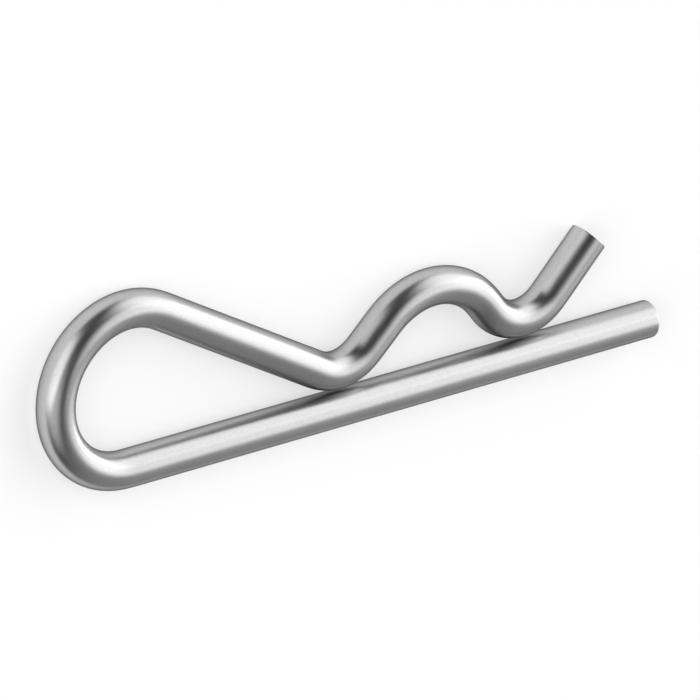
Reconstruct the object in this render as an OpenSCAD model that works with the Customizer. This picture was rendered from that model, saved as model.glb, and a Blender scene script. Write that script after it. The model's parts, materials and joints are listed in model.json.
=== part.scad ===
// Hitch R clip pin: one length of round spring wire, bent in one plane.
// It lies flat on its side, +X along the straight leg to the leg's cut end and +Y towards the sprung arm.
// The origin is under the middle of the clip, at the height of its lowest point.
// Lengths are in millimetres and angles in degrees.

/* [Wire] */
// Diameter of the round wire
wire_d = 4; // [2:0.1:4.6]
// How much thinner the wire is where it has been bent
bend_thinning = 0.02; // [0.01:0.01:0.1]
// Width of the bevel round each cut end
end_bevel = 0.1; // [0.05:0.05:0.5]

/* [Straight leg] */
// Length of the leg from the end of the loop to its cut end
leg_l = 67.3; // [65:0.1:110]

/* [Loop] */
// Inside diameter of the round spring loop
loop_inner_d = 13.1; // [12.4:0.1:16]

/* [Sprung arm] */
// Angle at which the arm comes down from the loop to the leg
slope_a = 29.5; // [24:0.5:40]
// Inside radius of the first bend beside the leg
near_bend_r = 3.2; // [2:0.1:6]
// Angle at which the arm rises from the first bend to the hump
rise_a = 43; // [41:0.5:52]
// Length of the straight stretch up to the hump
rise_l = 3.6; // [2.9:0.1:5]
// Gap left between the leg and each bend beside it
leg_gap = 0.6; // [0.3:0.05:1.5]

/* [Hump] */
// Diameter of the hitch pin that the hump sits over
pin_d = 12.7; // [10:0.1:16]
// Room between the hitch pin and the inside of the hump
pin_clearance = 0.35; // [0.1:0.05:0.6]
// Angle at which the arm falls from the hump to the second bend
fall_a = 53; // [46:0.5:55]

/* [Flared tip] */
// Inside radius of the second bend beside the leg
far_bend_r = 3.2; // [2:0.1:4]
// Angle at which the tip flares away from the leg
tip_a = 45.5; // [20:0.5:60]
// Length of the tip from the second bend to its cut end
tip_l = 7.5; // [3:0.1:12]

/* [Hidden] */
$fn = 96;

// Radius of the wire's section, straight and bent
wire_r = wire_d / 2;
bent_r = wire_r - bend_thinning / 2;
// How far each straight stretch runs on round the bend beside it
lap = 0.1;

// Radius of each bend at the middle of the wire
loop_r = loop_inner_d / 2 + wire_r;
near_r = near_bend_r + wire_r;
hump_r = pin_d / 2 + pin_clearance + wire_r;
far_r = far_bend_r + wire_r;

// Height of the arm over the leg, middle to middle, at each bend beside the leg
low_h = wire_d + leg_gap;

// The slope is as long as it takes to come down from the loop to that height
slope_drop = loop_r * (1 + cos(slope_a)) - near_r * (1 - cos(slope_a)) - low_h;
slope_l = slope_drop / sin(slope_a);

// The straight stretch after the hump is as long as it takes to come down to it again
rise_h = near_r * (1 - cos(rise_a)) + rise_l * sin(rise_a);
fall_drop = rise_h - hump_r * (cos(rise_a) - cos(fall_a)) - far_r * (1 - cos(fall_a));
fall_l = fall_drop / sin(fall_a);

// Middle of the whole clip, from the point where the leg meets the loop
middle_x = (leg_l - loop_r - bent_r) / 2;
middle_y = loop_r - (wire_r - bent_r) / 2;

// A straight stretch of wire along +X, with the rest of the wire at its far end.
// It runs on a little at both ends, over the thinner wire of the bends.
module run(length) {
    translate([-lap, 0, 0]) rotate([0, 90, 0]) cylinder(r = wire_r, h = length + 2 * lap);
    translate([length, 0, 0]) children();
}

// A bend, to the left when the angle is positive, with the rest of the wire at its end
module bend(radius, angle) {
    side = sign(angle);
    translate([0, side * radius, 0]) {
        rotate(-side * 90)
            rotate_extrude(angle = angle) translate([radius, 0]) circle(r = bent_r);
        rotate(angle) translate([0, -side * radius, 0]) children();
    }
}

// The last stretch of wire, along +X to its bevelled end
module cut_end(length) {
    rotate([0, 90, 0]) rotate_extrude()
        polygon([
            [0, -lap],
            [wire_r, -lap],
            [wire_r, length - end_bevel],
            [wire_r - end_bevel, length],
            [0, length]
        ]);
}

// Loop, slope, first bend, rise, hump, fall, second bend and flared tip, in the order of bending
module sprung_arm() {
    bend(loop_r, -(180 + slope_a))
        run(slope_l)
            bend(near_r, slope_a + rise_a)
                run(rise_l)
                    bend(hump_r, -(rise_a + fall_a))
                        run(fall_l)
                            bend(far_r, fall_a + tip_a)
                                cut_end(tip_l);
}

module clip() {
    color("silver") translate([-middle_x, -middle_y, wire_r]) {
        cut_end(leg_l);
        rotate(180) sprung_arm();
    }
}

clip();
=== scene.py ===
"""Hitch R clip pin: one length of satin drawn spring wire, bent in one plane.

It lies flat on its side on a pale floor. Places are in metres, in the frame of the CAD part.
"""
import json
import math

import bmesh
import bpy
from mathutils import Matrix, Vector


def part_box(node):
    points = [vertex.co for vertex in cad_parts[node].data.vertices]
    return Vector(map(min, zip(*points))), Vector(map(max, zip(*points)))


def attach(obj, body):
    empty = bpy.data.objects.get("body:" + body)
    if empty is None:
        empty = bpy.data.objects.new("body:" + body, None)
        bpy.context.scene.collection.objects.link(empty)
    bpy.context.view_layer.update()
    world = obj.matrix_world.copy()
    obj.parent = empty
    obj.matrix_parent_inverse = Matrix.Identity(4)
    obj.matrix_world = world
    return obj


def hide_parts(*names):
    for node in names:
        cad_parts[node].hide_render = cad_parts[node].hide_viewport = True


MM = 0.001

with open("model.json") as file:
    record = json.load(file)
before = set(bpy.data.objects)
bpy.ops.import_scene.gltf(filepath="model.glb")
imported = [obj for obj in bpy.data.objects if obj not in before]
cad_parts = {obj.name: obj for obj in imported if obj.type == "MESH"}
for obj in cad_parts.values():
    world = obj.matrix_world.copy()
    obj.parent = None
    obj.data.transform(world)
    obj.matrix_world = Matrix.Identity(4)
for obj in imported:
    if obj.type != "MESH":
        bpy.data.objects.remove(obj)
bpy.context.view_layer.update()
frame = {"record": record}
scene = bpy.context.scene
scene.view_settings.view_transform = "Standard"


# ---------------------------------------------------------------- camera

LOOK_AT = Vector((-0.184, -2.593, 2.0)) * MM
CAMERA_DISTANCE = 908.15 * MM
CAMERA_AZIMUTH = math.radians(146.086)
CAMERA_ELEVATION = math.radians(46.553)
CAMERA_ROLL = math.radians(116.994)
LENS = 462.857
SENSOR = 36.0
NEAREST_SEEN = 0.05
FARTHEST_SEEN = 50


def direction(azimuth, elevation):
    """Unit vector at an azimuth from +X towards +Y and an elevation above the floor."""
    flat = math.cos(elevation)
    return Vector((flat * math.cos(azimuth), flat * math.sin(azimuth), math.sin(elevation)))


def make_camera():
    """A long lens looking down on the clip, with the picture turned about the line of sight."""
    back = direction(CAMERA_AZIMUTH, CAMERA_ELEVATION)
    level_right = (-back).cross(Vector((0, 0, 1))).normalized()
    level_up = back.cross(level_right)
    right = level_right * math.cos(CAMERA_ROLL) + level_up * math.sin(CAMERA_ROLL)
    up = back.cross(right)
    data = bpy.data.cameras.new("camera")
    data.lens = LENS
    data.sensor_width = SENSOR
    data.clip_start = NEAREST_SEEN
    data.clip_end = FARTHEST_SEEN
    camera = bpy.data.objects.new("camera", data)
    scene.collection.objects.link(camera)
    place = Matrix((right, up, back)).transposed().to_4x4()
    place.translation = LOOK_AT + back * CAMERA_DISTANCE
    camera.matrix_world = place
    scene.camera = camera


make_camera()


# ---------------------------------------------------------------- node trees

class Value:
    """A number that varies over a surface. Sums written on it add their own Math nodes."""

    def __init__(self, tree, socket):
        self.tree = tree
        self.socket = socket

    def math(self, operation, *terms):
        """One Math node, with a value or a plain number in each socket."""
        node = self.tree.nodes.new("ShaderNodeMath")
        node.operation = operation
        for slot, term in zip(node.inputs, terms):
            if isinstance(term, Value):
                self.tree.links.new(term.socket, slot)
            else:
                slot.default_value = term
        return Value(self.tree, node.outputs[0])

    def __add__(self, other):
        return self.math("ADD", self, other)

    def __radd__(self, other):
        return self.math("ADD", other, self)

    def __sub__(self, other):
        return self.math("SUBTRACT", self, other)

    def __rsub__(self, other):
        return self.math("SUBTRACT", other, self)

    def __mul__(self, other):
        return self.math("MULTIPLY", self, other)

    def __rmul__(self, other):
        return self.math("MULTIPLY", other, self)

    def over(self, low, high):
        """0 at low and 1 at high, with an S curve between."""
        node = self.tree.nodes.new("ShaderNodeMapRange")
        node.interpolation_type = "SMOOTHSTEP"
        self.tree.links.new(self.socket, node.inputs["Value"])
        node.inputs["From Min"].default_value = low
        node.inputs["From Max"].default_value = high
        return Value(self.tree, node.outputs["Result"])


class Nodes:
    """The node tree of a material or of the world."""

    def __init__(self, owner):
        owner.use_nodes = True
        self.tree = owner.node_tree
        self.tree.nodes.clear()

    def add(self, kind, settings=None, inputs=None):
        """A node of that type. Settings come first, then the values or links of its sockets."""
        node = self.tree.nodes.new(kind)
        for name, value in (settings or {}).items():
            setattr(node, name, value)
        for name, value in (inputs or {}).items():
            slot = node.inputs[name]
            if isinstance(value, Value):
                self.tree.links.new(value.socket, slot)
            elif isinstance(value, bpy.types.NodeSocket):
                self.tree.links.new(value, slot)
            else:
                slot.default_value = value
        return node

    def value(self, node, output=0):
        """A node's output as a Value."""
        return Value(self.tree, node.outputs[output])


# ---------------------------------------------------------------- the bent wire

WIRE_LOW, WIRE_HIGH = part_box("clip")
WIRE_R = (WIRE_HIGH.z - WIRE_LOW.z) / 2
MOUNTS = {mount["name"]: Vector(mount["pos_m"]) for mount in frame["record"]["mounts"]}
LEG_AXIS = MOUNTS["straight_leg"]

# How far the surface stays under the CAD solid's, so that it keeps inside its box.
SKIN = 0.006 * MM
DRESSED_R = WIRE_R - SKIN

# Bent wire is a little thinner than straight wire: by this much, measured right across.
BEND_THINNING = 0.02 * MM

# A cropped end has a small rounded edge and a shallow dish in its face.
END_BEVEL = 0.06 * MM
END_DISH = 0.08 * MM
FACE_R = DRESSED_R - END_BEVEL

# The runs and bends in their order, from the leg's cut end to the flared tip. R is the inside of a bend.
LEG_L = 67.3 * MM
LOOP_INNER_D = 13.07 * MM
SLOPE_A = math.radians(29.5)
NEAR_BEND_R = 3.2 * MM
RISE_A = math.radians(43)
RISE_L = 3.6 * MM
LEG_GAP = 0.2 * MM
PIN_D = 12.7 * MM
PIN_CLEARANCE = 0.35 * MM
FALL_A = math.radians(53)
FAR_BEND_R = 3.2 * MM
TIP_A = math.radians(45.5)
TIP_L = 7.5 * MM

# How finely the mesh is made, and how far a bend's ends fade into the straight wire.
POINTS_ROUND = 72
FINE_STEP = 0.05 * MM
STEPS_PER_RING = 6
BEND_EASE = 0.5 * MM
BEVEL_RINGS = 4
FACE_RINGS = 8


def bending_recipe():
    """The wire from its leg end to its flared tip, as lengths with the angle each is bent through."""
    loop_r = LOOP_INNER_D / 2 + WIRE_R
    near_r = NEAR_BEND_R + WIRE_R
    hump_r = PIN_D / 2 + PIN_CLEARANCE + WIRE_R
    far_r = FAR_BEND_R + WIRE_R
    low_h = 2 * WIRE_R + LEG_GAP
    slope_drop = loop_r * (1 + math.cos(SLOPE_A)) - near_r * (1 - math.cos(SLOPE_A)) - low_h
    rise_h = near_r * (1 - math.cos(RISE_A)) + RISE_L * math.sin(RISE_A)
    fall_drop = rise_h - hump_r * (math.cos(RISE_A) - math.cos(FALL_A)) - far_r * (1 - math.cos(FALL_A))

    def bend(radius, angle):
        return radius * abs(angle), angle

    return [
        (LEG_L, 0),
        bend(loop_r, -(math.pi + SLOPE_A)),
        (slope_drop / math.sin(SLOPE_A), 0),
        bend(near_r, SLOPE_A + RISE_A),
        (RISE_L, 0),
        bend(hump_r, -(RISE_A + FALL_A)),
        (fall_drop / math.sin(FALL_A), 0),
        bend(far_r, FALL_A + TIP_A),
        (TIP_L, 0),
    ]


def eased(values, reach):
    """Each value averaged with its neighbours, up to that many places away."""
    sums = [0.0]
    for value in values:
        sums.append(sums[-1] + value)
    last = len(values) - 1
    made = []
    for i in range(len(values)):
        low = max(0, i - reach)
        high = min(last, i + reach)
        made.append((sums[high + 1] - sums[low]) / (high + 1 - low))
    return made


def centre_line():
    """Stations along the wire: place, heading, distance from the leg's end, and how bent it is, 0 to 1.

    Each bend fades into the straight wire beside it, as it does where wire is bent round a pin. The leg
    starts at its cut end, at the highest x, and runs towards lower x.
    """
    recipe = bending_recipe()
    length = sum(part for part, angle in recipe)
    count = math.ceil(length / FINE_STEP)
    step = length / count
    headings = []
    bends = []
    turned = math.pi
    start = 0.0
    parts = iter(recipe)
    part, angle = next(parts)
    for i in range(count):
        distance = (i + 0.5) * step
        while distance > start + part:
            start += part
            turned += angle
            part, angle = next(parts)
        headings.append(turned + angle * (distance - start) / part)
        bends.append(1.0 if angle else 0.0)
    reach = round(BEND_EASE / step)
    headings = eased(eased(headings, reach), reach)
    bends = eased(eased(bends, reach), reach)
    place = Vector((WIRE_HIGH.x, LEG_AXIS.y, LEG_AXIS.z))
    made = []
    for i in range(count):
        heading = (headings[max(0, i - 1)] + headings[i]) / 2
        made.append((place.copy(), heading, i * step, bends[i]))
        place += Vector((math.cos(headings[i]), math.sin(headings[i]), 0)) * step
    made.append((place, headings[-1], length, 0.0))
    return made


def ring(place, heading, radius):
    """Points of a round section across the wire."""
    side = Vector((-math.sin(heading), math.cos(heading), 0))
    points = []
    for i in range(POINTS_ROUND):
        turn = 2 * math.pi * i / POINTS_ROUND
        points.append(place + (side * math.cos(turn) + Vector((0, 0, 1)) * math.sin(turn)) * radius)
    return points


def end_profile():
    """How far in from the cut, and how far from the wire's middle, each ring of a cropped end lies."""
    profile = []
    for i in range(BEVEL_RINGS + 1):
        turn = math.pi / 2 * i / BEVEL_RINGS
        profile.append((END_BEVEL * (1 - math.sin(turn)), DRESSED_R - END_BEVEL * (1 - math.cos(turn))))
    for i in range(1, FACE_RINGS + 1):
        share = 1 - i / (FACE_RINGS + 1)
        profile.append((END_DISH * (1 - share * share) ** 2, FACE_R * share))
    return profile


def make_wire():
    """One closed mesh swept along the bent wire, with a rounded edge and a shallow dish at each cut end.

    Each corner also keeps its own place on the wire, as wire_place: the distance along it from the leg's
    end, and the two offsets from its middle. The steel's finish follows that round the bends.
    """
    path = centre_line()
    leg_end, leg_heading, _, _ = path[0]
    tip_end, tip_heading, length, _ = path[-1]

    def along(place, heading, step):
        return place + Vector((math.cos(heading), math.sin(heading), 0)) * step

    leg_sections = []
    tip_sections = []
    for back, radius in end_profile():
        leg_sections.append((along(leg_end, leg_heading, back), leg_heading, back, radius))
        tip_sections.append((along(tip_end, tip_heading, -back), tip_heading, length - back, radius))
    sections = leg_sections[::-1]
    for place, heading, distance, bent in path[::STEPS_PER_RING]:
        if END_BEVEL < distance < length - END_BEVEL:
            sections.append((place, heading, distance, DRESSED_R - BEND_THINNING / 2 * bent))
    sections += tip_sections

    mesh = bpy.data.meshes.new("spring_wire_clip")
    build = bmesh.new()
    lay = build.verts.layers.float_vector.new("wire_place")
    rows = []
    for place, heading, distance, radius in sections:
        row = []
        for i, point in enumerate(ring(place, heading, radius)):
            turn = 2 * math.pi * i / POINTS_ROUND
            corner = build.verts.new(point)
            corner[lay] = Vector((distance, radius * math.cos(turn), radius * math.sin(turn)))
            row.append(corner)
        rows.append(row)
    for near, far in zip(rows, rows[1:]):
        for i in range(POINTS_ROUND):
            j = (i + 1) % POINTS_ROUND
            build.faces.new((near[i], far[i], far[j], near[j])).smooth = True
    for row, distance in ((rows[0], 0.0), (rows[-1], length)):
        middle = build.verts.new(sum((corner.co for corner in row), Vector()) / POINTS_ROUND)
        middle[lay] = Vector((distance, 0, 0))
        for i in range(POINTS_ROUND):
            j = (i + 1) % POINTS_ROUND
            corners = (middle, row[i], row[j]) if row is rows[0] else (middle, row[j], row[i])
            build.faces.new(corners).smooth = True
    bmesh.ops.recalc_face_normals(build, faces=build.faces)
    build.to_mesh(mesh)
    build.free()
    wire = bpy.data.objects.new("spring_wire_clip", mesh)
    scene.collection.objects.link(wire)
    return wire


wire = make_wire()


# ---------------------------------------------------------------- satin drawn steel

# Each texture is a stretch along and across the wire, then its fineness, detail and breaking up.
DRAW_LINES = ((0.06, 1, 1), 5200, 3, 0.5)
CLOUD = ((0.4, 1, 1), 520, 2, 0.5)
TOOTH = ((0.4, 1, 1), 8000, 2, 0.5)
SHEAR_LINES = ((1, 0.06, 1), 4200, 3, 0.5)
TORN_GRAIN = ((1, 1, 1), 3600, 4, 0.65)
TEAR_LINE = ((1, 1, 1), 700, 2, 0.5)

# The drawn side: its level, and how far each texture moves it or stands up in the bump.
SIDE_GREY = 0.52
LINES_IN_GREY = 0.06
TOOTH_IN_GREY = 0.14
CLOUD_IN_GREY = 0.03
SIDE_ROUGHNESS = 0.30
LINES_IN_ROUGHNESS = 0.08
CLOUD_IN_ROUGHNESS = 0.05
LINES_HEIGHT = 0.35
TOOTH_HEIGHT = 0.7

# The cut faces: the same for the sheared part, and what the torn part changes.
CUT_GREY = 0.50
SHEAR_IN_GREY = 0.10
GRAIN_IN_GREY = 0.22
TORN_DARKER = 0.06
CUT_ROUGHNESS = 0.36
TORN_ROUGHER = 0.16
SHEAR_HEIGHT = 0.8
GRAIN_HEIGHT = 3.0

# The line between sheared and torn: how far it wanders from the middle, and how softly it fades.
TEAR_WANDER = 0.9 * MM
TEAR_FADE = 0.25 * MM

BLACK = (0, 0, 0, 1)
STEEL_WHITE = (1, 1, 1.012, 1)
GLANCING_TINT = (0.15, 0.15, 0.15, 1)
BUMP_STRENGTH = 0.35
BUMP_DEPTH = 0.004 * MM

# Where a colour Mix node keeps its two colours and its result.
MIX_FROM = 6
MIX_TO = 7
MIX_RESULT = 2


def satin_drawn_steel():
    """Bright drawn wire, with fine lines along it, a soft cloud and a fine tooth.

    Its cropped ends are part sheared, with straight lines, and part torn, which is rougher and darker.
    """
    material = bpy.data.materials.new("satin_drawn_steel")
    nodes = Nodes(material)
    place = nodes.add("ShaderNodeAttribute", {"attribute_name": "wire_place"}).outputs["Vector"]

    def scaled(factors):
        return nodes.add("ShaderNodeVectorMath", {"operation": "MULTIPLY"}, {0: place, 1: factors}).outputs[0]

    def texture(stretch, fineness, detail, breaking_up):
        node = nodes.add("ShaderNodeTexNoise", None, {
            "Vector": scaled(stretch), "Scale": fineness, "Detail": detail, "Roughness": breaking_up,
        })
        return nodes.value(node, "Fac")

    def swing(pattern, amount):
        """A texture as a change up and down about nothing, that much from its darkest to its lightest."""
        return (pattern - 0.5) * amount

    draw_lines = texture(*DRAW_LINES)
    cloud = texture(*CLOUD)
    tooth = texture(*TOOTH)
    side_grey = SIDE_GREY + swing(draw_lines, LINES_IN_GREY) + swing(tooth, TOOTH_IN_GREY)
    side_grey = side_grey + swing(cloud, CLOUD_IN_GREY)
    side_roughness = SIDE_ROUGHNESS + swing(draw_lines, LINES_IN_ROUGHNESS) + swing(cloud, CLOUD_IN_ROUGHNESS)
    side_height = draw_lines * LINES_HEIGHT + tooth * TOOTH_HEIGHT

    across = nodes.value(nodes.add("ShaderNodeSeparateXYZ", None, {"Vector": place}), "Y")
    shear_lines = texture(*SHEAR_LINES)
    torn_grain = texture(*TORN_GRAIN)
    torn = (across + swing(texture(*TEAR_LINE), TEAR_WANDER)).over(-TEAR_FADE, TEAR_FADE)
    cut_grey = CUT_GREY + swing(shear_lines, SHEAR_IN_GREY)
    cut_grey = cut_grey + torn * (swing(torn_grain, GRAIN_IN_GREY) - TORN_DARKER)
    cut_roughness = CUT_ROUGHNESS + torn * TORN_ROUGHER
    cut_height = shear_lines * SHEAR_HEIGHT + torn * torn_grain * GRAIN_HEIGHT

    # The cut faces are all that lies nearer the wire's middle than its drawn side.
    from_middle = nodes.add("ShaderNodeVectorMath", {"operation": "LENGTH"}, {0: scaled((0, 1, 1))})
    cut = 1 - nodes.value(from_middle, "Value").over(FACE_R, FACE_R + END_BEVEL / 2)

    grey = side_grey + cut * (cut_grey - side_grey)
    roughness = side_roughness + cut * (cut_roughness - side_roughness)
    height = side_height + cut * (cut_height - side_height)
    colour = nodes.add("ShaderNodeMix", {"data_type": "RGBA"}, {
        "Factor": grey, MIX_FROM: BLACK, MIX_TO: STEEL_WHITE,
    })
    bump = nodes.add("ShaderNodeBump", None, {
        "Strength": BUMP_STRENGTH, "Distance": BUMP_DEPTH, "Height": height,
    })
    steel = nodes.add("ShaderNodeBsdfPrincipled", None, {
        "Base Color": colour.outputs[MIX_RESULT], "Metallic": 1.0, "Roughness": roughness,
        "Normal": bump.outputs[0], "Specular Tint": GLANCING_TINT,
    })
    nodes.add("ShaderNodeOutputMaterial", None, {"Surface": steel.outputs[0]})
    return material


wire.data.materials.append(satin_drawn_steel())
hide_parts("clip")
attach(wire, "root")


# ---------------------------------------------------------------- floor and light

# The floor's grey under the lamps, and what it adds where it is seen directly or in the steel.
FLOOR_GREY = 0.5
FLOOR_WHITE = 0.5
FLOOR_HALF = 6.0

ROOM_GLOW = 0.01

LAMP_WIDTH = 1.2
LAMP_POWER = 10
LAMP_DISTANCE = 1.5


def make_floor():
    """A plain pale floor, wide enough for every view."""
    mesh = bpy.data.meshes.new("floor")
    half = FLOOR_HALF
    corners = [(-half, -half, 0), (half, -half, 0), (half, half, 0), (-half, half, 0)]
    mesh.from_pydata(corners, [], [(0, 1, 2, 3)])
    floor = bpy.data.objects.new("floor", mesh)
    scene.collection.objects.link(floor)
    material = bpy.data.materials.new("pale_floor")
    nodes = Nodes(material)
    paper = nodes.add("ShaderNodeBsdfDiffuse", None, {"Color": (FLOOR_GREY, FLOOR_GREY, FLOOR_GREY, 1)})
    ray = nodes.add("ShaderNodeLightPath")
    seen = nodes.value(ray, "Is Camera Ray") + nodes.value(ray, "Is Glossy Ray")
    seen = seen + nodes.value(ray, "Is Transmission Ray")
    white = nodes.add("ShaderNodeEmission", None, {"Strength": seen * FLOOR_WHITE})
    both = nodes.add("ShaderNodeAddShader", None, {0: paper.outputs[0], 1: white.outputs[0]})
    nodes.add("ShaderNodeOutputMaterial", None, {"Surface": both.outputs[0]})
    mesh.materials.append(material)


def make_world():
    """A dim room with soft boxes round the clip, the main ones beyond its cut ends and beyond its loop."""
    world = bpy.data.worlds.new("studio")
    scene.world = world
    nodes = Nodes(world)
    look = nodes.add("ShaderNodeTexCoord").outputs["Generated"]

    def soft_box(azimuth, elevation, half_width, edge, strength):
        """A round soft box: where it hangs, how wide it is and how soft its edge is, all in degrees."""
        axis = direction(math.radians(azimuth), math.radians(elevation))
        dot = nodes.add("ShaderNodeVectorMath", {"operation": "DOT_PRODUCT"}, {0: look, 1: axis})
        outside = math.cos(math.radians(half_width + edge))
        inside = math.cos(math.radians(half_width - edge))
        return nodes.value(dot, "Value").over(outside, inside) * strength

    low_beyond_ends = soft_box(0, 2, 16, 8, 4.2)
    fade_above_it = soft_box(-4, 19, 20, 20, 1.4)
    beside_the_tip = soft_box(45, 22, 18, 18, 2.2)
    high_over_ends = soft_box(12, 57, 22, 8, 1.5)
    broad_beyond_loop = soft_box(160, 10, 37, 6, 1.95)
    high_behind_loop = soft_box(-155, 41, 26, 15, 0.9)
    faint_beside_leg = soft_box(-37, 5, 48, 35, 0.5)
    light = ROOM_GLOW + low_beyond_ends + fade_above_it + beside_the_tip + high_over_ends
    light = light + broad_beyond_loop + high_behind_loop + faint_beside_leg
    room = nodes.add("ShaderNodeBackground", None, {"Strength": light})
    nodes.add("ShaderNodeOutputWorld", None, {"Surface": room.outputs[0]})


def make_floor_lamp():
    """A broad lamp on the near side, for the floor. It leaves no streak on the steel."""
    data = bpy.data.lights.new("floor_fill", "AREA")
    data.shape = "DISK"
    data.size = LAMP_WIDTH
    data.energy = LAMP_POWER
    lamp = bpy.data.objects.new("floor_fill", data)
    lamp.location = direction(CAMERA_AZIMUTH, CAMERA_ELEVATION) * LAMP_DISTANCE
    lamp.rotation_euler = (-lamp.location).to_track_quat("-Z", "Y").to_euler()
    lamp.visible_glossy = False
    lamp.visible_camera = False
    scene.collection.objects.link(lamp)


make_floor()
make_world()
make_floor_lamp()
